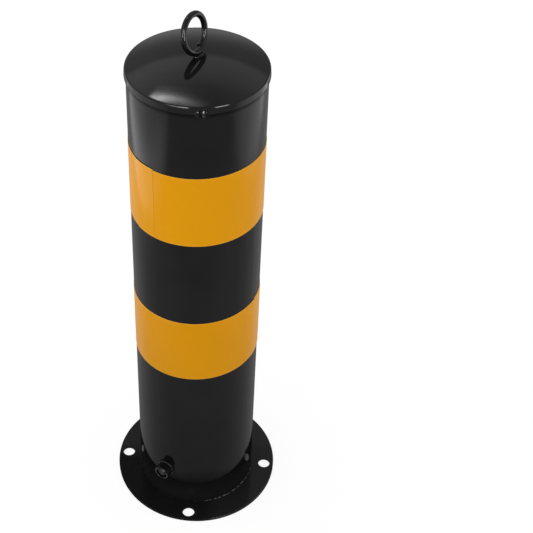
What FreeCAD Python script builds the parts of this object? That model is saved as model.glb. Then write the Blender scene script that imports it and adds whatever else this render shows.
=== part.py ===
"""Removable safety barrier post: a steel tube that drops over a sleeve on a bolted base plate.

Sizes are in millimetres. The origin is the centre of the underside of the base plate, Z is up and
the lock faces along minus Y. Angles are in degrees, turned from plus X towards plus Y.
"""

import FreeCAD, Part
import math
import os

import Sketcher

# Driving sizes

SIZES = {
    # Base plate that is bolted to the ground
    "flange_diameter": 160.0,
    "flange_thickness": 3.0,
    "flange_edge_round": 0.6,
    "anchor_hole_diameter": 12.0,
    "anchor_rim_margin": 3.5,
    "anchor_hole_count": 4,
    "anchor_pattern_angle": 25.1,
    # Sleeve that stands on the plate, inside the tube
    "sleeve_clearance": 0.5,
    "sleeve_wall": 2.5,
    "sleeve_height": 55.0,
    "sleeve_lead_in": 1.2,
    "sleeve_weld_leg": 4.0,
    # Post tube
    "tube_diameter": 114.0,
    "tube_wall": 2.0,
    "tube_length": 476.0,
    "tube_edge_break": 0.4,
    # Pressed cap with a low dome and a short flared skirt
    "cap_sheet": 1.0,
    "cap_clearance": 0.1,
    "cap_skirt_height": 6.5,
    "cap_skirt_flare": 0.4,
    "cap_lip_round": 0.8,
    "cap_dome_rise": 10.0,
    "cap_corner_round": 1.8,
    "cap_seat_gap": 0.3,
    # Tack welds under the skirt of the cap, each of a few pools that run together
    "tack_count": 3,
    "tack_angle": -55.2,
    "tack_pool_count": 2,
    "tack_pool_spacing": 4.6,
    "tack_pool_width": 7.4,
    "tack_pool_height": 7.6,
    "tack_proud": 1.1,
    "tack_rise": 0.7,
    # Lifting ring bent from round bar, with its two ends side by side near the weld
    "ring_bar_diameter": 5.0,
    "ring_diameter": 30.2,
    "ring_lean_angle": 11.0,
    "ring_turn_angle": -1.9,
    "ring_seam_angle": 22.0,
    "ring_gap_angle": 7.0,
    "ring_end_offset": 2.4,
    "ring_seat_gap": 0.1,
    "ring_shift_back": 1.2,
    "ring_shift_left": 0.75,
    "ring_weld_length": 12.0,
    "ring_weld_width": 8.0,
    "ring_weld_height": 2.2,
    # Reflective tape, lapped over its own start
    "band_width": 70.0,
    "band_film": 0.25,
    "band_glue": 0.05,
    "band_lap_angle": 20.0,
    "band_bridge_angle": 6.0,
    "upper_band_below_cap": 62.2,
    "upper_band_start": -116.9,
    "upper_band_drift": 1.0,
    "lower_band_height": 182.5,
    "lower_band_start": 5.5,
    "lower_band_drift": -0.7,
    # Lock: a guard bush through the tube wall and a screw that enters the sleeve
    "lock_height": 46.0,
    "boss_diameter": 15.5,
    "boss_reach": 9.0,
    "boss_thread_length": 3.0,
    "boss_guard_bore": 12.0,
    "boss_mouth_chamfer": 0.6,
    "boss_weld_bead": 1.4,
    "bolt_diameter": 8.0,
    "bolt_clearance": 0.05,
    "bolt_point_chamfer": 0.8,
    "bolt_tip_setback": 0.2,
    "bolt_end_setback": 0.5,
    "bolt_hole_clearance": 1.0,
    "bolt_pin_diameter": 2.5,
    "bolt_pin_length": 10.6,
    "bolt_pin_depth": 1.8,
    "bolt_pin_chamfer": 0.3,
}

# Two sizes nearer than this count as equal when an edge is looked up
SAME_SIZE = 1e-4

FULL_TURN = 360.0
HALF_TURN = 180.0
QUARTER_TURN = 90.0

THROUGH_ALL = "ThroughAll"
BY_LENGTH = "Length"
HEIGHT_AND_TURNS = "height-turns-angle"

X_AXIS = FreeCAD.Vector(1, 0, 0)
Y_AXIS = FreeCAD.Vector(0, 1, 0)
Z_AXIS = FreeCAD.Vector(0, 0, 1)

# A point on an unrolled surface: angle and height
FlatPoint = FreeCAD.Base.Vector2d

# Turns Z to minus Y, so that a lock piece is drawn along its own axis
FACING_FRONT = FreeCAD.Rotation(X_AXIS, QUARTER_TURN)

document = FreeCAD.newDocument("safety_barrier_post")
sheet = document.addObject("Spreadsheet::Sheet", "sizes")
for row, (alias, amount) in enumerate(SIZES.items(), start=1):
    sheet.set(f"A{row}", alias)
    sheet.set(f"B{row}", str(amount))
    sheet.setAlias(f"B{row}", alias)
document.recompute()


# Sizes that carry their own formula


class Size:
    """A driving size, or sizes worked together: the formula for the sheet and the value it has now."""

    def __init__(self, formula, value):
        self.formula = formula
        self.value = value

    def __add__(self, other):
        return worked("+", self, other, lambda a, b: a + b)

    def __sub__(self, other):
        return worked("-", self, other, lambda a, b: a - b)

    def __mul__(self, other):
        return worked("*", self, other, lambda a, b: a * b)

    def __truediv__(self, other):
        return worked("/", self, other, lambda a, b: a / b)


def as_size(amount):
    """A plain number as a size; a size is passed through."""
    if isinstance(amount, Size):
        return amount
    return Size(repr(float(amount)), float(amount))


def worked(sign, first, second, rule):
    """The size that comes from two others."""
    second = as_size(second)
    return Size(f"({first.formula} {sign} {second.formula})", rule(first.value, second.value))


def sine(angle):
    """The sine of a size in degrees."""
    return Size(f"sin({angle.formula})", math.sin(math.radians(angle.value)))


def cosine(angle):
    """The cosine of a size in degrees."""
    return Size(f"cos({angle.formula})", math.cos(math.radians(angle.value)))


def size(alias):
    """One driving size of the sheet."""
    return Size(f"sizes.{alias}", float(sheet.get(alias)))


def bind(target, path, amount):
    """Drives one property of an object from the sheet."""
    target.setExpression(path, amount.formula)


# Sizes that follow from the driving ones

plate_top = size("flange_thickness")
flange_radius = size("flange_diameter") / 2
anchor_circle_radius = flange_radius - size("anchor_rim_margin") - size("anchor_hole_diameter") / 2

tube_radius = size("tube_diameter") / 2
tube_inner = tube_radius - size("tube_wall")
tube_top = plate_top + size("tube_length")

sleeve_radius = tube_inner - size("sleeve_clearance")
sleeve_inner = sleeve_radius - size("sleeve_wall")

cap_inner = tube_radius + size("cap_clearance")
cap_radius = cap_inner + size("cap_sheet")
cap_lip_radius = cap_radius + size("cap_skirt_flare")
cap_bottom = tube_top + size("cap_sheet") + size("cap_seat_gap") - size("cap_skirt_height")
dome_radius = (cap_radius * cap_radius / size("cap_dome_rise") + size("cap_dome_rise")) / 2
dome_apex = size("cap_skirt_height") + size("cap_dome_rise")
dome_centre = dome_apex - dome_radius
cap_top = cap_bottom + dome_apex
tack_half_length = size("tack_pool_spacing") * (size("tack_pool_count") - 1) / 2

upper_band_bottom = cap_bottom - size("upper_band_below_cap") - size("band_width")
lower_band_bottom = size("lower_band_height")

bar_radius = size("ring_bar_diameter") / 2
ring_radius = size("ring_diameter") / 2
ring_lean = size("ring_lean_angle")
ring_side = as_size(0) - size("ring_shift_left") - ring_radius * sine(ring_lean)
ring_middle = cap_top + size("ring_seat_gap") + bar_radius + ring_radius * cosine(ring_lean)

boss_end = tube_radius + size("boss_reach")
boss_floor = tube_inner + size("boss_thread_length")
bolt_tip = tube_inner + size("bolt_tip_setback")
bolt_end = boss_end - size("bolt_end_setback")
pin_place = bolt_end - size("bolt_pin_depth")


# Ways to draw


def new_body(label):
    """An empty body under the name of its piece."""
    body = document.addObject("PartDesign::Body", label)
    body.Label = label
    return body


def new_sketch(body, name, role):
    """A sketch on one of the body's own planes."""
    plane = next(part for part in body.Origin.OriginFeatures if part.Role == role)
    sketch = body.newObject("Sketcher::SketchObject", name)
    sketch.AttachmentSupport = [(plane, "")]
    sketch.MapMode = "FlatFace"
    return sketch


def hold_point(sketch, geometry, point, across, up):
    """Holds a point of the sketch at bound distances from its origin; None keeps it on that axis."""
    for kind, axis, amount in (("DistanceX", -2, across), ("DistanceY", -1, up)):
        if amount is None:
            sketch.addConstraint(Sketcher.Constraint("PointOnObject", geometry, point, axis))
            continue
        index = sketch.addConstraint(
            Sketcher.Constraint(kind, -1, 1, geometry, point, amount.value)
        )
        bind(sketch, f"Constraints[{index}]", amount)


def draw_circle(sketch, diameter, across=None, up=None):
    """A circle of bound diameter, on the origin or at bound distances from it."""
    middle = FreeCAD.Vector(
        across.value if across else 0.0,
        up.value if up else 0.0,
        0,
    )
    circle = sketch.addGeometry(Part.Circle(middle, Z_AXIS, diameter.value / 2))
    hold_point(sketch, circle, 3, across, up)
    index = sketch.addConstraint(Sketcher.Constraint("Diameter", circle, diameter.value))
    bind(sketch, f"Constraints[{index}]", diameter)


def draw_outline(sketch, corners):
    """A closed outline of straight lines through corners that are bound to the sheet."""
    places = [
        FreeCAD.Vector(across.value if across else 0.0, up.value if up else 0.0, 0)
        for across, up in corners
    ]
    lines = [
        sketch.addGeometry(Part.LineSegment(start, end))
        for start, end in zip(places, places[1:] + places[:1])
    ]
    for line, following in zip(lines, lines[1:] + lines[:1]):
        sketch.addConstraint(Sketcher.Constraint("Coincident", line, 2, following, 1))
    for line, (across, up) in zip(lines, corners):
        hold_point(sketch, line, 1, across, up)


def add_pad(body, sketch, length):
    """Raises a sketch by a bound length."""
    pad = body.newObject("PartDesign::Pad", f"{sketch.Name}_pad")
    pad.Profile = sketch
    bind(pad, "Length", length)
    document.recompute()
    return pad


def add_ring(body, name, outer_radius, inner_radius, length):
    """A plain round tube that stands on the body's own ground plane."""
    sketch = new_sketch(body, name, "XY_Plane")
    draw_circle(sketch, outer_radius * 2)
    draw_circle(sketch, inner_radius * 2)
    return add_pad(body, sketch, length)


def add_turned(body, name, corners):
    """A solid turned about the body's own Z from a half section."""
    sketch = new_sketch(body, name, "XZ_Plane")
    draw_outline(sketch, corners)
    return revolve(body, sketch)


def revolve(body, sketch, kind="PartDesign::Revolution"):
    """Turns a sketch right round its upright axis, to add or to take away."""
    turned = body.newObject(kind, f"{sketch.Name}_turned")
    turned.Profile = sketch
    turned.ReferenceAxis = (sketch, ["V_Axis"])
    turned.Angle = FULL_TURN
    document.recompute()
    return turned


def add_front_hole(body, name, diameter, height, depth):
    """A round hole through the front half of a wall, along Y."""
    sketch = new_sketch(body, name, "XZ_Plane")
    draw_circle(sketch, diameter, up=height)
    pocket = body.newObject("PartDesign::Pocket", f"{name}_pocket")
    pocket.Profile = sketch
    pocket.Type = BY_LENGTH
    pocket.Reversed = True
    bind(pocket, "Length", depth)
    document.recompute()
    return pocket


def round_edges(feature, radius, height):
    """The names of the round edges of a feature at one radius and height."""
    names = []
    for index, edge in enumerate(feature.Shape.Edges, start=1):
        if edge.Degenerated or not isinstance(edge.Curve, Part.Circle):
            continue
        wide = abs(edge.Curve.Radius - radius.value) < SAME_SIZE
        level = abs(edge.Curve.Center.z - height.value) < SAME_SIZE
        if wide and level:
            names.append(f"Edge{index}")
    return names


def break_edge(body, feature, kind, path, edges, amount):
    """A fillet or a chamfer of bound size on named edges."""
    broken = body.newObject(f"PartDesign::{kind}", f"{feature.Name}_{kind.lower()}")
    broken.Base = (feature, edges)
    bind(broken, path, amount)
    document.recompute()
    return broken


def set_on(piece, height):
    """Lifts a piece to a bound height."""
    bind(piece, "Placement.Base.z", height)


def turn_about_z(piece, angle):
    """Turns a piece about Z by a bound angle."""
    piece.Placement.Rotation = FreeCAD.Rotation(Z_AXIS, angle.value)
    bind(piece, "Placement.Rotation.Angle", angle)


def cut_away(label, blank, tools):
    """A blank less the pieces that it lies against."""
    against = document.addObject("Part::Compound", f"{label}_against")
    against.Links = tools
    cut = document.addObject("Part::Cut", label)
    cut.Label = label
    cut.Base = blank
    cut.Tool = against
    return cut


# Base: plate, sleeve and the weld between them


def base_flange():
    """Round plate with the anchor holes."""
    body = new_body("base_flange")
    outline = new_sketch(body, "flange_outline", "XY_Plane")
    draw_circle(outline, size("flange_diameter"))
    plate = add_pad(body, outline, plate_top)
    rim = round_edges(plate, flange_radius, plate_top)
    break_edge(body, plate, "Fillet", "Radius", rim, size("flange_edge_round"))
    hole = new_sketch(body, "anchor_hole", "XY_Plane")
    draw_circle(hole, size("anchor_hole_diameter"), across=anchor_circle_radius)
    pocket = body.newObject("PartDesign::Pocket", "anchor_hole_pocket")
    pocket.Profile = hole
    pocket.Type = THROUGH_ALL
    pocket.Reversed = True
    document.recompute()
    holes = body.newObject("PartDesign::PolarPattern", "anchor_holes")
    holes.Originals = [pocket]
    holes.Axis = (hole, ["N_Axis"])
    holes.Angle = FULL_TURN
    bind(holes, "Occurrences", size("anchor_hole_count"))
    body.Tip = holes
    turn_about_z(body, size("anchor_pattern_angle"))
    return body


def locating_sleeve():
    """Short tube that the post drops over, with the hole for the lock screw."""
    body = new_body("locating_sleeve")
    wall = add_ring(body, "sleeve_ring", sleeve_radius, sleeve_inner, size("sleeve_height"))
    mouth = round_edges(wall, sleeve_radius, size("sleeve_height"))
    break_edge(body, wall, "Chamfer", "Size", mouth, size("sleeve_lead_in"))
    hole = size("bolt_diameter") + size("bolt_hole_clearance") * 2
    add_front_hole(body, "sleeve_lock_hole", hole, size("lock_height") - plate_top, sleeve_radius)
    set_on(body, plate_top)
    return body


def sleeve_weld():
    """Fillet weld round the foot of the sleeve, on its inside."""
    body = new_body("sleeve_weld")
    leg = size("sleeve_weld_leg")
    add_turned(
        body,
        "sleeve_bead",
        [(sleeve_inner - leg, None), (sleeve_inner, None), (sleeve_inner, leg)],
    )
    set_on(body, plate_top)
    return body


# Post: tube, cap, ring and tape


def post_tube():
    """Main tube, open at both ends, with the hole for the lock bush."""
    body = new_body("post_tube")
    wall = add_ring(body, "tube_ring", tube_radius, tube_inner, size("tube_length"))
    foot = round_edges(wall, tube_radius, as_size(0))
    break_edge(body, wall, "Chamfer", "Size", foot, size("tube_edge_break"))
    add_front_hole(
        body,
        "tube_lock_hole",
        size("boss_diameter"),
        size("lock_height") - plate_top,
        tube_radius,
    )
    set_on(body, plate_top)
    return body


def draw_domed_section(sketch, radius, apex):
    """Half section of a domed plug, its dome struck from the one centre; gives the height of its side."""
    strike = apex.value - dome_centre.value
    side_height = dome_centre.value + math.sqrt(strike**2 - radius.value**2)
    foot = FreeCAD.Vector(0, 0, 0)
    lip_radius = radius + size("cap_skirt_flare")
    lip = FreeCAD.Vector(lip_radius.value, 0, 0)
    shoulder = FreeCAD.Vector(radius.value, side_height, 0)
    crown = FreeCAD.Vector(0, apex.value, 0)
    centre = FreeCAD.Vector(0, dome_centre.value, 0)
    circle = Part.Circle(centre, Z_AXIS, strike)
    from_angle = X_AXIS.getAngle(shoulder - centre)
    to_angle = X_AXIS.getAngle(Y_AXIS)
    underside = sketch.addGeometry(Part.LineSegment(foot, lip))
    side = sketch.addGeometry(Part.LineSegment(lip, shoulder))
    dome = sketch.addGeometry(Part.ArcOfCircle(circle, from_angle, to_angle))
    core = sketch.addGeometry(Part.LineSegment(crown, foot))
    outline = [underside, side, dome, core]
    for line, following in zip(outline, outline[1:] + outline[:1]):
        sketch.addConstraint(Sketcher.Constraint("Coincident", line, 2, following, 1))
    hold_point(sketch, underside, 1, None, None)
    hold_point(sketch, side, 1, lip_radius, None)
    hold_point(sketch, core, 1, None, apex)
    hold_point(sketch, dome, 3, None, dome_centre)
    index = sketch.addConstraint(Sketcher.Constraint("DistanceX", -1, 1, side, 2, radius.value))
    bind(sketch, f"Constraints[{index}]", radius)
    return as_size(side_height)


def top_cap():
    """Cap pressed from one sheet: a low dome, a tight corner and a flared skirt over the tube."""
    body = new_body("top_cap")
    outside = new_sketch(body, "cap_outside", "XZ_Plane")
    shoulder = draw_domed_section(outside, cap_radius, dome_apex)
    blank = revolve(body, outside)
    corner = round_edges(blank, cap_radius, shoulder)
    cornered = break_edge(body, blank, "Fillet", "Radius", corner, size("cap_corner_round"))
    lip = round_edges(cornered, cap_lip_radius, as_size(0))
    break_edge(body, cornered, "Fillet", "Radius", lip, size("cap_lip_round"))
    inside = new_sketch(body, "cap_inside", "XZ_Plane")
    ceiling = draw_domed_section(inside, cap_inner, dome_apex - size("cap_sheet"))
    hollow = revolve(body, inside, "PartDesign::Groove")
    corner = round_edges(hollow, cap_inner, ceiling)
    inner_round = size("cap_corner_round") - size("cap_sheet")
    break_edge(body, hollow, "Fillet", "Radius", corner, inner_round)
    set_on(body, cap_bottom)
    return body


def cap_tack_welds():
    """Short welds that hold the skirt to the tube."""
    below = document.addObject("Part::Cylinder", "tube_solid")
    bind(below, "Radius", tube_radius)
    bind(below, "Height", tube_top)
    around = document.addObject("Part::Cone", "skirt_solid")
    bind(around, "Radius1", cap_lip_radius)
    bind(around, "Radius2", cap_radius)
    bind(around, "Height", size("cap_skirt_height"))
    set_on(around, cap_bottom)
    pools = []
    for step in range(int(size("tack_pool_count").value)):
        pool = document.addObject("Part::Ellipsoid", f"tack_pool_{step}")
        bind(pool, "Radius1", size("tack_pool_height") / 2)
        bind(pool, "Radius2", cap_lip_radius - tube_radius + size("tack_proud"))
        bind(pool, "Radius3", size("tack_pool_width") / 2)
        bind(pool, "Placement.Base.x", tube_radius)
        bind(pool, "Placement.Base.y", size("tack_pool_spacing") * step - tack_half_length)
        pools.append(pool)
    tack = document.addObject("Part::MultiFuse", "tack_blob")
    tack.Shapes = pools
    welds = []
    for index in range(int(size("tack_count").value)):
        spoke = document.addObject("Part::Compound", f"tack_spoke_{index}")
        spoke.Links = [tack]
        set_on(spoke, cap_bottom + size("tack_rise"))
        turn_about_z(spoke, size("tack_angle") + as_size(FULL_TURN) / size("tack_count") * index)
        welds.append(cut_away(f"tack_weld_{index}", spoke, [below, around]))
    group = document.addObject("Part::Compound", "cap_tack_welds")
    group.Label = "cap_tack_welds"
    group.Links = welds
    return group


def lifting_ring():
    """Round bar bent to a ring that leans a little; its ends lie side by side just behind the weld."""
    body = new_body("ring_bar_bent")
    sketch = new_sketch(body, "ring_bar", "XZ_Plane")
    draw_circle(sketch, size("ring_bar_diameter"), up=ring_radius)
    start = size("ring_seam_angle") + HALF_TURN
    sketch.AttachmentOffset.Rotation = FreeCAD.Rotation(X_AXIS, start.value)
    bind(sketch, "AttachmentOffset.Rotation.Angle", start)
    bent = body.newObject("PartDesign::AdditiveHelix", "ring_bend")
    bent.Profile = sketch
    bent.ReferenceAxis = (sketch, ["H_Axis"])
    bent.Mode = HEIGHT_AND_TURNS
    bind(bent, "Height", size("ring_end_offset"))
    bind(bent, "Turns", as_size(1) - size("ring_gap_angle") / FULL_TURN)
    document.recompute()
    half_offset = size("ring_end_offset") / 2
    body.Placement.Rotation = FreeCAD.Rotation(Y_AXIS * -1, ring_lean.value)
    bind(body, "Placement.Rotation.Angle", ring_lean)
    bind(body, "Placement.Base.x", ring_side - half_offset * cosine(ring_lean))
    bind(body, "Placement.Base.y", size("ring_shift_back"))
    set_on(body, ring_middle - half_offset * sine(ring_lean))
    ring = document.addObject("Part::Compound", "lifting_ring")
    ring.Label = "lifting_ring"
    ring.Links = [body]
    turn_about_z(ring, size("ring_turn_angle"))
    return ring


def lifting_ring_weld(ring):
    """Weld bead along the foot of the ring, on the crown of the dome."""
    crown = document.addObject("Part::Sphere", "dome_solid")
    bind(crown, "Radius", dome_radius)
    set_on(crown, cap_top - dome_radius)
    blob = document.addObject("Part::Ellipsoid", "ring_blob")
    bind(blob, "Radius1", size("ring_weld_height"))
    bind(blob, "Radius2", size("ring_weld_width") / 2)
    bind(blob, "Radius3", size("ring_weld_length") / 2)
    bind(blob, "Placement.Base.x", size("ring_end_offset") / 2 - size("ring_shift_left"))
    bind(blob, "Placement.Base.y", size("ring_shift_back"))
    set_on(blob, cap_top)
    return cut_away("lifting_ring_weld", blob, [crown, ring])


def tape_layer(inner, from_angle, angle, drift):
    """One layer of tape on a cylinder; the tape drifts along the tube by so much in each turn."""
    width = size("band_width").value
    rise = drift * angle / FULL_TURN
    sweep = math.radians(angle)
    corners = [(0.0, 0.0), (sweep, rise), (sweep, rise + width), (0.0, width)]
    wall = Part.Cylinder()
    wall.Radius = inner
    edges = [
        Part.Geom2d.Line2dSegment(FlatPoint(*start), FlatPoint(*end)).toShape(wall)
        for start, end in zip(corners, corners[1:] + corners[:1])
    ]
    face = Part.Face(wall, Part.Wire(edges))
    face.validate()
    layer = face.makeOffsetShape(size("band_film").value, SAME_SIZE, fill=True)
    layer.rotate(FreeCAD.Vector(), Z_AXIS, from_angle)
    layer.translate(Z_AXIS * (drift * from_angle / FULL_TURN))
    return layer


def reflective_band(where, bottom):
    """One band of tape: a layer round the tube and the end that laps over its start."""
    drift = size(f"{where}_band_drift").value
    bridge = size("band_bridge_angle").value
    inner = (tube_radius + size("band_glue")).value
    outer = inner + size("band_film").value
    round_angle = FULL_TURN - bridge
    first = tape_layer(inner, 0.0, round_angle, drift)
    lap_from = round_angle - bridge
    lap = tape_layer(outer, lap_from, bridge * 2 + size("band_lap_angle").value, drift)
    band = document.addObject("Part::Feature", f"{where}_reflective_band")
    band.Label = f"{where}_reflective_band"
    band.Shape = first.fuse(lap).removeSplitter().Solids[0]
    turn_about_z(band, size(f"{where}_band_start"))
    set_on(band, bottom)
    return band


# Lock: guard bush on the post and the screw in it


def face_front(body):
    """Turns a lock piece, drawn along Z from the middle of the post, to the front at lock height."""
    body.Placement.Rotation = FACING_FRONT
    set_on(body, size("lock_height"))


def lock_boss():
    """Bush through the tube wall: a short thread, then a wide guard for the key."""
    body = new_body("lock_boss")
    outside = size("boss_diameter") / 2
    thread = size("bolt_diameter") / 2 + size("bolt_clearance")
    guard = size("boss_guard_bore") / 2
    chamfer = size("boss_mouth_chamfer")
    add_turned(
        body,
        "boss_section",
        [
            (thread, tube_inner),
            (outside, tube_inner),
            (outside, boss_end - chamfer),
            (outside - chamfer, boss_end),
            (guard, boss_end),
            (guard, boss_floor),
            (thread, boss_floor),
        ],
    )
    face_front(body)
    return body


def lock_boss_weld(tube, boss):
    """Weld bead round the bush where it leaves the tube."""
    bead = document.addObject("Part::Torus", "boss_bead")
    bind(bead, "Radius1", size("boss_diameter") / 2)
    bind(bead, "Radius2", size("boss_weld_bead"))
    bead.Placement.Rotation = FACING_FRONT
    bind(bead, "Placement.Base.y", as_size(0) - tube_radius)
    set_on(bead, size("lock_height"))
    return cut_away("lock_boss_weld", bead, [tube, boss])


def lock_bolt():
    """Headless screw with a cross hole near its outer end."""
    body = new_body("lock_bolt")
    shank = size("bolt_diameter") / 2
    chamfer = size("bolt_point_chamfer")
    add_turned(
        body,
        "bolt_section",
        [
            (None, bolt_tip),
            (shank - chamfer, bolt_tip),
            (shank, bolt_tip + chamfer),
            (shank, bolt_end - chamfer),
            (shank - chamfer, bolt_end),
            (None, bolt_end),
        ],
    )
    hole = new_sketch(body, "bolt_cross_hole", "YZ_Plane")
    draw_circle(hole, size("bolt_pin_diameter"), up=pin_place)
    pocket = body.newObject("PartDesign::Pocket", "bolt_cross_pocket")
    pocket.Profile = hole
    pocket.Type = THROUGH_ALL
    pocket.Midplane = True
    document.recompute()
    face_front(body)
    return body


def lock_bolt_pin():
    """Cross pin that the slotted key turns."""
    body = new_body("lock_bolt_pin")
    sketch = new_sketch(body, "pin_round", "YZ_Plane")
    draw_circle(sketch, size("bolt_pin_diameter"), up=pin_place)
    pin = add_pad(body, sketch, size("bolt_pin_length"))
    pin.Midplane = True
    document.recompute()
    ends = [
        f"Edge{index}"
        for index, edge in enumerate(pin.Shape.Edges, start=1)
        if isinstance(edge.Curve, Part.Circle)
    ]
    break_edge(body, pin, "Chamfer", "Size", ends, size("bolt_pin_chamfer"))
    face_front(body)
    return body


# Pieces in the order in which they are put together

tube = post_tube()
ring = lifting_ring()
boss = lock_boss()
pieces = [
    base_flange(),
    locating_sleeve(),
    sleeve_weld(),
    tube,
    top_cap(),
    cap_tack_welds(),
    ring,
    lifting_ring_weld(ring),
    reflective_band("upper", upper_band_bottom),
    reflective_band("lower", lower_band_bottom),
    boss,
    lock_boss_weld(tube, boss),
    lock_bolt(),
    lock_bolt_pin(),
]
document.recompute()

for item in document.Objects:
    if {"Invalid", "Error"} & set(item.State):
        raise RuntimeError(f"{item.Label} did not build: {item.State}")
os.makedirs("parts", exist_ok=True)
for piece in pieces:
    if piece.Shape.isNull() or not piece.Shape.isValid():
        raise RuntimeError(f"{piece.Label} has no sound shape")
    piece.Shape.exportStep(f"parts/{piece.Label}.step")
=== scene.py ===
import math

import bpy
from mathutils import Matrix, Vector


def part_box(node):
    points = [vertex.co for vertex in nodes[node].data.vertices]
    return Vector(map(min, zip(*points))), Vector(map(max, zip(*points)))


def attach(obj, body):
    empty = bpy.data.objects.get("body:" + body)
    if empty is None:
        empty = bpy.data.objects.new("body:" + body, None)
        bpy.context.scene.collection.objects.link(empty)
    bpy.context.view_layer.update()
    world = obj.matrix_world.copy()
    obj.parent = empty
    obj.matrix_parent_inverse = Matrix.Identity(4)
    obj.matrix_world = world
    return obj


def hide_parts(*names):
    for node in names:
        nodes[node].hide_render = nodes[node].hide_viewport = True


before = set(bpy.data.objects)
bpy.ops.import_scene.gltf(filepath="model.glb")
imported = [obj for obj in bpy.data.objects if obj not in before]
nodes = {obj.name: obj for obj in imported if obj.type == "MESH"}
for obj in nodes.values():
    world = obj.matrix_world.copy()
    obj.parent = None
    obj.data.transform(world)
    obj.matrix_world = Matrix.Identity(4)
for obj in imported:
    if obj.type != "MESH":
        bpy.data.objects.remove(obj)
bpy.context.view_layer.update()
scene = bpy.context.scene

# Camera

FRAME_PIXELS = 533.0
FOCAL_PIXELS = 1242.743
AXIS_PIXEL_X = 196.849
SENSOR_MM = 36.0
CAMERA_AZIMUTH = 31.3
CAMERA_PITCH = 41.81
CAMERA_ROLL = 0.168
CAMERA_BACK = 0.8332
CAMERA_HEIGHT = 1.0139
CLIP_NEAR = 0.05
CLIP_FAR = 50.0
RIGHT_ANGLE = 90.0
FULL_TURN = 360.0


def seen(right, away, height):
    """A point given as the camera sees it: to the right, away from it and up."""
    turn = math.radians(CAMERA_AZIMUTH)
    return Vector(
        (
            right * math.cos(turn) - away * math.sin(turn),
            right * math.sin(turn) + away * math.cos(turn),
            height,
        )
    )


def turned(degrees, axis):
    return Matrix.Rotation(math.radians(degrees), 3, axis)


camera_data = bpy.data.cameras.new("camera")
camera = bpy.data.objects.new("camera", camera_data)
scene.collection.objects.link(camera)
scene.camera = camera
camera_data.sensor_width = SENSOR_MM
camera_data.lens = FOCAL_PIXELS * SENSOR_MM / FRAME_PIXELS
camera_data.shift_x = 0.5 - AXIS_PIXEL_X / FRAME_PIXELS
camera_data.clip_start = CLIP_NEAR
camera_data.clip_end = CLIP_FAR
camera.location = seen(0.0, -CAMERA_BACK, CAMERA_HEIGHT)
aim = turned(CAMERA_AZIMUTH, "Z") @ turned(RIGHT_ANGLE - CAMERA_PITCH, "X") @ turned(CAMERA_ROLL, "Z")
camera.rotation_euler = aim.to_euler()

# Node trees

MIX_FIRST_COLOUR = 6
MIX_SECOND_COLOUR = 7
MIX_RESULT_COLOUR = 2
UNDER_ROUGHNESS = 0.6


def grey(level):
    return (level, level, level, 1.0)


WHITE = grey(1.0)


class Nodes:
    """A node tree that is put together by name."""

    def __init__(self, tree):
        self.tree = tree
        tree.nodes.clear()

    def add(self, kind, **sockets):
        node = self.tree.nodes.new(kind)
        for name, value in sockets.items():
            self.put(node.inputs[name.replace("_", " ")], value)
        return node

    def put(self, socket, value):
        if isinstance(value, bpy.types.NodeSocket):
            self.tree.links.new(value, socket)
        else:
            socket.default_value = value

    def math(self, operation, first, *others):
        """One operation over two or more values, from left to right."""
        for other in others:
            node = self.add("ShaderNodeMath")
            node.operation = operation
            self.put(node.inputs[0], first)
            self.put(node.inputs[1], other)
            first = node.outputs["Value"]
        return first

    def measure(self, operation, *vectors):
        node = self.add("ShaderNodeVectorMath")
        node.operation = operation
        for socket, vector in zip(node.inputs, vectors):
            self.put(socket, vector)
        return node.outputs["Value"]

    def upward(self, vector):
        return self.add("ShaderNodeSeparateXYZ", Vector=vector).outputs["Z"]

    def ramp(self, factor, stops):
        node = self.add("ShaderNodeValToRGB", Fac=factor)
        band = node.color_ramp
        while len(band.elements) < len(stops):
            band.elements.new(1.0)
        for element, (place, colour) in zip(band.elements, stops):
            element.position = place
            element.color = (*colour, 1.0)
        return node.outputs["Color"]

    def grey_ramp(self, factor, stops):
        return self.ramp(factor, [(place, (level, level, level)) for place, level in stops])

    def spread(self, factor, low, high):
        return self.add("ShaderNodeMapRange", Value=factor, To_Min=low, To_Max=high).outputs["Result"]


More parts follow.
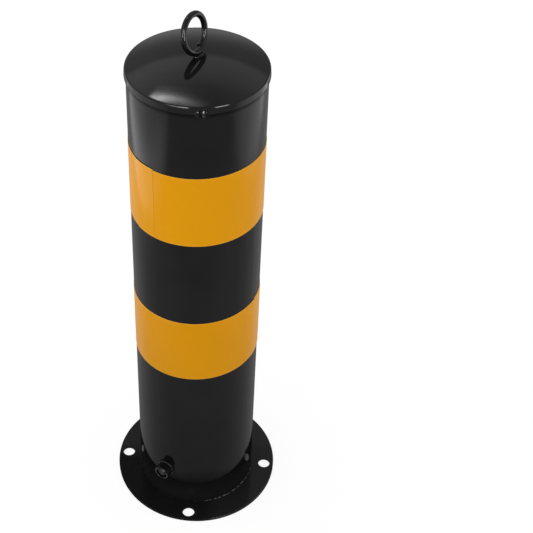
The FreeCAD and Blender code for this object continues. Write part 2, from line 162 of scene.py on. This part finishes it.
class Shader(Nodes):
    """A material in which the texture coordinates are the part's own metres."""

    def __init__(self, name):
        self.material = bpy.data.materials.new(name)
        self.material.use_nodes = True
        super().__init__(self.material.node_tree)
        self.output = self.add("ShaderNodeOutputMaterial")
        coordinates = self.add("ShaderNodeTexCoord").outputs
        self.place = coordinates["Object"]
        self.normal = coordinates["Normal"]

    def noise(self, scale, detail=3.0):
        return self.add("ShaderNodeTexNoise", Vector=self.place, Scale=scale, Detail=detail).outputs["Fac"]

    def bump(self, height, strength, distance):
        node = self.add("ShaderNodeBump", Height=height, Strength=strength, Distance=distance)
        return node.outputs["Normal"]

    def mix(self, share, first, second, blend="MIX"):
        """Two colours, with a share of the second one."""
        node = self.add("ShaderNodeMix")
        node.data_type = "RGBA"
        node.blend_type = blend
        self.put(node.inputs["Factor"], share)
        self.put(node.inputs[MIX_FIRST_COLOUR], first)
        self.put(node.inputs[MIX_SECOND_COLOUR], second)
        return node.outputs[MIX_RESULT_COLOUR]

    def blend(self, share, first, second):
        """Two shaders, with a share of the second one."""
        node = self.add("ShaderNodeMixShader", Fac=share)
        self.put(node.inputs[1], first)
        self.put(node.inputs[2], second)
        return node.outputs["Shader"]

    def show(self, shader):
        self.put(self.output.inputs["Surface"], shader)

    def body(self, colour, normal):
        """What lies under a gloss: plain colour with no shine of its own."""
        return self.add(
            "ShaderNodeBsdfPrincipled",
            Base_Color=colour,
            Roughness=UNDER_ROUGHNESS,
            Normal=normal,
            Specular_IOR_Level=0.0,
        )

    def lay(self, under, share, colour):
        """Another colour over a share of the base colour."""
        base = under.inputs["Base Color"]
        self.put(base, self.mix(share, base.links[0].from_socket, colour))

    def coat(self, under, stops, rough, normal, thinned=None):
        """A clear gloss over a shader, stronger where it is seen at a low angle."""
        facing = self.add("ShaderNodeLayerWeight", Blend=0.5, Normal=normal).outputs["Facing"]
        share = self.grey_ramp(facing, stops)
        if thinned:
            share = self.math("MULTIPLY", share, thinned)
        gloss = self.add("ShaderNodeBsdfGlossy", Color=WHITE, Roughness=rough, Normal=normal)
        self.show(self.blend(share, under.outputs["BSDF"], gloss.outputs["BSDF"]))


# Finishes

PAINT_GLOSS = [
    (0.00, 0.009),
    (0.20, 0.0115),
    (0.27, 0.013),
    (0.33, 0.017),
    (0.42, 0.019),
    (0.48, 0.024),
    (0.53, 0.029),
    (0.60, 0.040),
    (0.67, 0.058),
    (0.74, 0.075),
    (0.82, 0.105),
    (1.00, 0.135),
]
TAPE_GLOSS = [
    (0.00, 0.001),
    (0.29, 0.002),
    (0.37, 0.006),
    (0.51, 0.013),
    (0.57, 0.018),
    (0.63, 0.031),
    (0.71, 0.062),
    (0.80, 0.095),
    (1.00, 0.150),
]
# Pale grey laid for dust and scuffs, and for the painted glint on the plate.
DUST_AND_GLINT = grey(0.20)
KEYED_STEEL = grey(0.060)
TAPE_EDGE = (0.72, 0.36, 0.05, 1.0)
BLUE_CAST = 1.1
WELD_LUMPS = 330.0
LOCK_LUMPS = 420.0

TO_RIGHT = (0.85, 0.52, 0.0)
TO_BACK = (-0.52, 0.85, 0.0)
# Slope and rise of the painted shade low on the tube, deepest at the front.
PAINTED_SHADE_SLOPE = (-0.33, 0.54, 0.0)
PAINTED_SHADE_RISE = 0.0065
ALONG_TACKS = (0.82, 0.57, 0.0)
# Direction in which the painted glint arc on the plate lies.
TO_PAINTED_GLINT_ARC = (0.94, -0.34, 0.0)
OUT_OF_LOCK = (0.0, -1.0, 0.0)
DECIMETRES = 10.0
CENTIMETRES = 100.0
RAMP_MIDDLE = 0.5


def black_paint(name, dark, light, smoothest=0.06, roughest=0.10, lumps=None):
    """Black under its coat: the shader below the gloss, the roughness and the normal of the coat."""
    make = Shader(name)
    shades = [(0.3, (dark, dark, dark * BLUE_CAST)), (0.7, (light, light, light * BLUE_CAST))]
    colour = make.ramp(make.noise(scale=35.0, detail=4.0), shades)
    rough = make.spread(make.noise(scale=90.0, detail=5.0), smoothest, roughest)
    if lumps:
        skin = make.bump(make.noise(scale=lumps, detail=2.0), strength=0.35, distance=0.0015)
    else:
        skin = make.bump(make.noise(scale=420.0, detail=2.0), strength=0.02, distance=0.0004)
    return make, make.body(colour, skin), rough, skin


def tube_paint():
    """Duller low at the front of the foot, a painted shade standing for the dark flange reflected there,
    and dark in the gap under the cap, a painted shade line. Ramps are by height.
    """
    foot_sheen = [(0.03, 0.30), (0.08, 1.0)]
    foot_dust = [(0.010, 0.024), (0.035, 0.0)]
    gloss_share = [(0.0, 0.05), (0.020, 0.62), (0.22, 0.88)]
    # Painted shade line in the gap under the cap's lip.
    painted_shade_under_cap = [(0.4712, 1.0), (0.4722, 0.3), (0.4745, 0.3), (0.4755, 1.0)]
    make, under, rough, skin = black_paint(
        "black_paint", dark=0.0026, light=0.0040, smoothest=0.15, roughest=0.19
    )
    height = make.upward(make.place)
    rough = make.math("MULTIPLY", rough, make.grey_ramp(height, foot_sheen))
    make.lay(under, make.grey_ramp(height, foot_dust), DUST_AND_GLINT)
    # Painted shade: the gloss is thinned low on the tube, most at the front, and in a thin band under the
    # cap.
    waver = make.spread(make.noise(scale=30.0, detail=4.0), low=-0.006, high=0.006)
    slope = make.measure("DOT_PRODUCT", make.place, PAINTED_SHADE_SLOPE)
    above_painted_foot_shade = make.math("ADD", height, waver, slope, PAINTED_SHADE_RISE)
    thinned = make.math("MULTIPLY", make.grey_ramp(above_painted_foot_shade, gloss_share), make.grey_ramp(height, painted_shade_under_cap))
    make.coat(under, PAINT_GLOSS, rough, skin, thinned)
    return make.material


def cap_paint():
    """Smooth and unsoiled."""
    make, under, rough, skin = black_paint("cap_paint", dark=0.0040, light=0.0056)
    make.coat(under, PAINT_GLOSS, rough, skin)
    return make.material


def weld_paint():
    """Lumpy from the bead below it."""
    make, under, rough, skin = black_paint(
        "weld_paint", dark=0.0018, light=0.0032, smoothest=0.08, roughest=0.12, lumps=WELD_LUMPS
    )
    make.coat(under, PAINT_GLOSS, rough, skin)
    return make.material


def tack_paint():
    """Two pools side by side, each glossy on its left and the right one brighter: the gloss is set by
    slope and pool to pick out lamp glints, a painted highlight.
    """
    glossy_left = [(0.50, 1.0), (0.57, 0.10)]
    right_pool = [(0.45, 0.35), (0.55, 1.0)]
    strength = 2.0
    make, under, rough, skin = black_paint(
        "tack_paint", dark=0.0040, light=0.0070, smoothest=0.08, roughest=0.12, lumps=WELD_LUMPS
    )
    # Painted highlight: gloss cut on right-facing slopes and raised on the right pool, so only chosen lamp
    # glints show.
    lean = make.math("ADD", make.measure("DOT_PRODUCT", make.normal, ALONG_TACKS), RAMP_MIDDLE)
    along = make.math("MULTIPLY", make.measure("DOT_PRODUCT", make.place, ALONG_TACKS), CENTIMETRES)
    along = make.math("ADD", along, RAMP_MIDDLE)
    gloss_share = make.grey_ramp(lean, glossy_left)
    shine = make.math("MULTIPLY", gloss_share, make.grey_ramp(along, right_pool), strength)
    make.coat(under, PAINT_GLOSS, rough, skin, shine)
    return make.material


def lock_paint():
    """Rough and dull, chipped to grey steel on the end that takes the key."""
    end_face = [(0.80, 0.0), (0.95, 1.0)]
    chipped = [(0.38, 0.05), (0.60, 1.0)]
    make, under, rough, skin = black_paint(
        "lock_paint", dark=0.0020, light=0.0050, smoothest=0.20, roughest=0.35, lumps=LOCK_LUMPS
    )
    outward = make.measure("DOT_PRODUCT", make.normal, OUT_OF_LOCK)
    chips = make.grey_ramp(make.noise(scale=520.0), chipped)
    make.lay(under, make.math("MULTIPLY", make.grey_ramp(outward, end_face), chips), KEYED_STEEL)
    make.coat(under, PAINT_GLOSS, rough, skin, make.spread(make.noise(scale=500.0), low=0.0, high=0.4))
    return make.material


def plate_paint():
    """Glossier at the back and right and paler towards the right, with a painted glint: a broken pale arc
    outside the tube on the front right.
    """
    # A painted glint: a broken pale arc just outside the tube's foot, on the front right only.
    arc_radius = [(0.568, 0.0), (0.572, 1.0), (0.579, 1.0), (0.583, 0.0)]
    arc_reach = [(0.42, 0.03), (0.54, 0.55)]
    arc_breaks = [(0.44, 0.0), (0.58, 1.0)]
    scuffed = [(0.66, 0.0), (0.74, 0.03)]
    paler_to_right = [(0.52, 0.0), (0.68, 0.022)]
    right_gloss = [(0.40, 0.12), (0.80, 0.48)]
    back_gloss = [(0.48, 0.12), (0.68, 0.64)]
    side_steepness = 7.0
    make, under, rough, skin = black_paint(
        "plate_paint", dark=0.0046, light=0.0062, smoothest=0.12, roughest=0.16
    )
    flat = make.add("ShaderNodeMapping", Vector=make.place, Scale=(1.0, 1.0, 0.0)).outputs["Vector"]
    radius = make.math("MULTIPLY", make.measure("LENGTH", flat), DECIMETRES)
    reach = make.math("MULTIPLY", make.measure("DOT_PRODUCT", flat, TO_PAINTED_GLINT_ARC), DECIMETRES)
    painted_glint_arc = make.math(
        "MULTIPLY",
        make.grey_ramp(radius, arc_radius),
        make.grey_ramp(reach, arc_reach),
        make.grey_ramp(make.noise(scale=300.0, detail=4.0), arc_breaks),
    )
    scuffs = make.grey_ramp(make.noise(scale=240.0), scuffed)
    side = make.math("MULTIPLY", make.measure("DOT_PRODUCT", flat, TO_RIGHT), side_steepness)
    side = make.math("ADD", side, make.spread(make.noise(scale=22.0, detail=4.0), low=0.35, high=0.65))
    make.lay(under, make.math("MAXIMUM", painted_glint_arc, scuffs, make.grey_ramp(side, paler_to_right)), DUST_AND_GLINT)
    back = make.math("MULTIPLY", make.measure("DOT_PRODUCT", flat, TO_BACK), DECIMETRES)
    back = make.math("ADD", back, RAMP_MIDDLE)
    gloss_share = make.math("MAXIMUM", make.grey_ramp(back, back_gloss), make.grey_ramp(side, right_gloss))
    make.coat(under, PAINT_GLOSS, rough, skin, gloss_share)
    return make.material


def yellow_tape():
    """Beaded film under a clear face, darkened low down and to the left as painted shade, with pale cut
    edges.
    """
    film_shades = [(0.25, (0.534, 0.222, 0.0030)), (0.75, (0.600, 0.260, 0.0044))]
    painted_shade_stops = [(0.13, 0.82), (0.20, 0.90), (0.25, 0.90), (0.33, 1.0)]
    make = Shader("yellow_tape")
    grain = make.noise(scale=1600.0, detail=2.0)
    film = make.ramp(grain, film_shades)
    # Painted shade: the film is darkened low down and towards the left, along a wavering line.
    waver = make.spread(make.noise(scale=25.0, detail=4.0), low=-0.02, high=0.02)
    to_right = make.measure("DOT_PRODUCT", make.place, TO_RIGHT)
    above_painted_shade = make.math("ADD", make.upward(make.place), waver, to_right)
    shaded_film = make.mix(1.0, film, make.grey_ramp(above_painted_shade, painted_shade_stops), blend="MULTIPLY")
    cut = make.add("ShaderNodeAttribute")
    cut.attribute_name = "cut"
    colour = make.mix(cut.outputs["Fac"], shaded_film, TAPE_EDGE)
    rough = make.spread(make.noise(scale=60.0, detail=4.0), low=0.10, high=0.16)
    beads = make.bump(grain, strength=0.04, distance=0.0002)
    make.coat(make.body(colour, beads), TAPE_GLOSS, rough, beads)
    return make.material


def dark_steel():
    """Blackened and pitted."""
    make = Shader("dark_steel")
    colour = make.grey_ramp(make.noise(scale=500.0, detail=4.0), [(0.38, 0.008), (0.62, 0.036)])
    rough = make.spread(make.noise(scale=900.0), low=0.50, high=0.65)
    pits = make.bump(make.noise(scale=600.0, detail=2.0), strength=0.4, distance=0.0006)
    steel = make.add(
        "ShaderNodeBsdfPrincipled", Base_Color=colour, Roughness=rough, Normal=pits, Metallic=1.0
    )
    make.show(steel.outputs["BSDF"])
    return make.material


def paint(material, *names):
    for name in names:
        mesh = nodes[name].data
        mesh.materials.clear()
        mesh.materials.append(material)


yellow = yellow_tape()
paint(plate_paint(), "base_flange")
paint(tube_paint(), "locating_sleeve", "post_tube")
paint(cap_paint(), "top_cap", "lifting_ring")
paint(weld_paint(), "sleeve_weld", "lifting_ring_weld")
paint(tack_paint(), "cap_tack_welds")
paint(lock_paint(), "lock_boss", "lock_boss_weld")
paint(yellow, "upper_reflective_band", "lower_reflective_band")
paint(dark_steel(), "lock_bolt", "lock_bolt_pin")

# Reflective tape, wound once round the tube and lapped over its own start

TAPE_INSIDE = 0.05705
TAPE_FILM = 0.00025
TAPE_RIDE = 0.00026
TAPE_TURN = 380
TAPE_RISE_FROM = 347.0
TAPE_RISE_TO = 361.0
TAPE_CUT_EDGE = 0.0005
TAPE_SHARP_ANGLE = 40.0


def smooth_step(value, low, high):
    share = min(max((value - low) / (high - low), 0.0), 1.0)
    return share * share * (3.0 - 2.0 * share)


def wound_tape(node, start, drift, slant):
    """Tape from a start angle, drifting up by so much a turn and slanting to the camera's right."""
    low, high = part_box(node)
    climb = drift * TAPE_TURN / FULL_TURN
    width = high[2] - low[2] - abs(climb)
    foot = low[2] + max(-climb, 0.0)
    heights = [0.0, TAPE_CUT_EDGE, width / 2.0, width - TAPE_CUT_EDGE, width]
    facing_camera = math.radians(CAMERA_AZIMUTH - RIGHT_ANGLE)
    verts, faces, cuts = [], [], []
    for turn in range(TAPE_TURN + 1):
        angle = math.radians(start + turn)
        inside = TAPE_INSIDE + TAPE_RIDE * smooth_step(turn, TAPE_RISE_FROM, TAPE_RISE_TO)
        base = foot + drift * turn / FULL_TURN + slant * math.sin(angle - facing_camera)
        loop = [(inside + TAPE_FILM, height) for height in heights] + [(inside, width), (inside, 0.0)]
        for radius, height in loop:
            verts.append((radius * math.cos(angle), radius * math.sin(angle), base + height))
            cuts.append(1.0 if height in (0.0, width) else 0.0)
    ring = len(heights) + 2
    for turn in range(TAPE_TURN):
        this, following = turn * ring, (turn + 1) * ring
        for spot in range(ring):
            beside = (spot + 1) % ring
            faces.append((this + spot, following + spot, following + beside, this + beside))
    faces.append(tuple(range(ring)))
    faces.append(tuple(TAPE_TURN * ring + spot for spot in reversed(range(ring))))
    mesh = bpy.data.meshes.new(node + ".wound")
    mesh.from_pydata(verts, [], faces)
    mesh.attributes.new("cut", "FLOAT", "POINT").data.foreach_set("value", cuts)
    mesh.shade_smooth()
    mesh.set_sharp_from_angle(angle=math.radians(TAPE_SHARP_ANGLE))
    mesh.materials.append(yellow)
    piece = bpy.data.objects.new(node + ".wound", mesh)
    scene.collection.objects.link(piece)
    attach(piece, "post")
    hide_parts(node)


wound_tape("upper_reflective_band", start=-116.9, drift=0.0010, slant=0.0007)
wound_tape("lower_reflective_band", start=5.5, drift=-0.0007, slant=0.0015)

# Floor

FLOOR_HALF = 6.0
FLOOR_CORNERS = [(-1, -1), (1, -1), (1, 1), (-1, 1)]
FLOOR_COLOUR = grey(0.88)
FLOOR_WHITE_SHARE = 0.85


def white_floor():
    """White to the eye and in gloss, and still pale enough in the rest to keep a shadow."""
    make = Shader("white_floor")
    pale = make.add("ShaderNodeBsdfDiffuse", Color=FLOOR_COLOUR)
    white = make.add("ShaderNodeEmission", Color=WHITE, Strength=1.0)
    path = make.add("ShaderNodeLightPath").outputs
    shown = make.math("MAXIMUM", path["Is Camera Ray"], path["Is Glossy Ray"], path["Is Transmission Ray"])
    share = make.math("MULTIPLY", shown, FLOOR_WHITE_SHARE)
    make.show(make.blend(share, pale.outputs["BSDF"], white.outputs["Emission"]))
    return make.material


floor_mesh = bpy.data.meshes.new("floor")
floor_corners = [(FLOOR_HALF * x, FLOOR_HALF * y, 0.0) for x, y in FLOOR_CORNERS]
floor_mesh.from_pydata(floor_corners, [], [(0, 1, 2, 3)])
floor_mesh.materials.append(white_floor())
floor = bpy.data.objects.new("floor", floor_mesh)
scene.collection.objects.link(floor)

# World

SKY_STRENGTH = 2.35
SKY_BY_HEIGHT = [
    (0.00, 0.72),
    (0.20, 0.50),
    (0.33, 0.41),
    (0.50, 0.46),
    (0.56, 0.95),
    (0.61, 1.00),
    (0.70, 0.88),
    (0.81, 0.70),
    (0.88, 0.58),
    (0.95, 0.42),
    (1.00, 0.32),
]
SKY_TO_LEFT = [(0.0, 0.76), (0.35, 1.0)]

world = bpy.data.worlds.new("studio")
scene.world = world
world.use_nodes = True
sky = Nodes(world.node_tree)
toward = sky.add("ShaderNodeTexCoord").outputs["Generated"]
by_height = sky.grey_ramp(sky.upward(toward), SKY_BY_HEIGHT)
to_left = sky.measure("DOT_PRODUCT", toward, seen(-1.0, 0.0, 0.0))
level = sky.math("MULTIPLY", by_height, sky.grey_ramp(to_left, SKY_TO_LEFT))
glow = sky.add("ShaderNodeBackground", Color=level, Strength=SKY_STRENGTH)
sky.put(sky.add("ShaderNodeOutputWorld").inputs["Surface"], glow.outputs["Background"])

# Lamps


def softbox(name, place, facing, wide, high, radiance, along=None, across=None):
    """A panel that shows in gloss only; its glow may fade along its width and across its height."""
    data = bpy.data.lights.new(name, "AREA")
    data.shape = "RECTANGLE"
    data.size = wide
    data.size_y = high
    data.energy = radiance * math.pi * wide * high
    if along:
        data.use_nodes = True
        glow = Nodes(data.node_tree)
        spot = glow.add("ShaderNodeNewGeometry").outputs["Parametric"]
        panel = glow.add("ShaderNodeSeparateXYZ", Vector=spot).outputs
        level = glow.grey_ramp(panel["X"], along)
        if across:
            level = glow.math("MULTIPLY", level, glow.grey_ramp(panel["Y"], across))
        shine = glow.add("ShaderNodeEmission", Color=level, Strength=1.0)
        glow.put(glow.add("ShaderNodeOutputLight").inputs["Surface"], shine.outputs["Emission"])
    lamp = bpy.data.objects.new(name, data)
    scene.collection.objects.link(lamp)
    lamp.location = place
    lamp.rotation_euler = facing
    lamp.visible_diffuse = False


def hung(turn):
    """Facing down, with the width turned so far from the camera's right."""
    return (0.0, 0.0, math.radians(CAMERA_AZIMUTH + turn))


def stood(turn):
    """Upright, facing so far round from the camera's away direction."""
    return (math.radians(RIGHT_ANGLE), 0.0, math.radians(CAMERA_AZIMUTH + turn))


softbox(
    "over_left",
    place=seen(-0.20, 0.595, 1.80),
    facing=hung(-25.9),
    wide=0.80,
    high=0.34,
    radiance=30.0,
    along=[
        (0.00, 0.45),
        (0.04, 1.00),
        (0.24, 1.00),
        (0.35, 0.76),
        (0.50, 0.48),
        (0.59, 0.36),
        (0.66, 0.26),
        (0.79, 0.14),
        (1.00, 0.05),
    ],
    across=[
        (0.00, 0.05),
        (0.08, 0.25),
        (0.16, 1.00),
        (0.27, 1.00),
        (0.41, 0.38),
        (0.52, 0.17),
        (0.70, 0.05),
        (1.00, 0.02),
    ],
)
softbox(
    "front_left",
    place=seen(-0.65, -1.13, 1.20),
    facing=stood(-30.0),
    wide=0.75,
    high=1.1,
    radiance=30.0,
    along=[(0.0, 0.2), (0.5, 0.6), (1.0, 1.5)],
)
softbox(
    "front_right",
    place=seen(0.75, -1.06, 0.85),
    facing=stood(35.0),
    wide=0.42,
    high=0.9,
    radiance=30.0,
)
softbox(
    "left_card",
    place=seen(-0.45, -0.01, 0.275),
    facing=stood(-RIGHT_ANGLE),
    wide=0.92,
    high=0.49,
    radiance=5.5,
    along=[
        (0.000, 0.45),
        (0.183, 0.56),
        (0.311, 0.72),
        (0.448, 0.70),
        (0.612, 0.50),
        (0.707, 0.40),
        (0.840, 0.29),
        (0.913, 0.24),
        (1.000, 0.05),
    ],
    across=[(0.0, 1.0), (0.14, 1.0), (0.24, 0.4), (1.0, 0.4)],
)
softbox(
    "right_card",
    place=seen(0.56, 0.08, 0.26),
    facing=stood(RIGHT_ANGLE),
    wide=0.90,
    high=0.52,
    radiance=1.9,
    along=[(0.0, 0.1), (0.25, 0.75), (0.44, 1.0), (0.62, 1.0), (0.80, 1.3), (1.0, 1.4)],
)

# View

scene.view_settings.view_transform = "Standard"
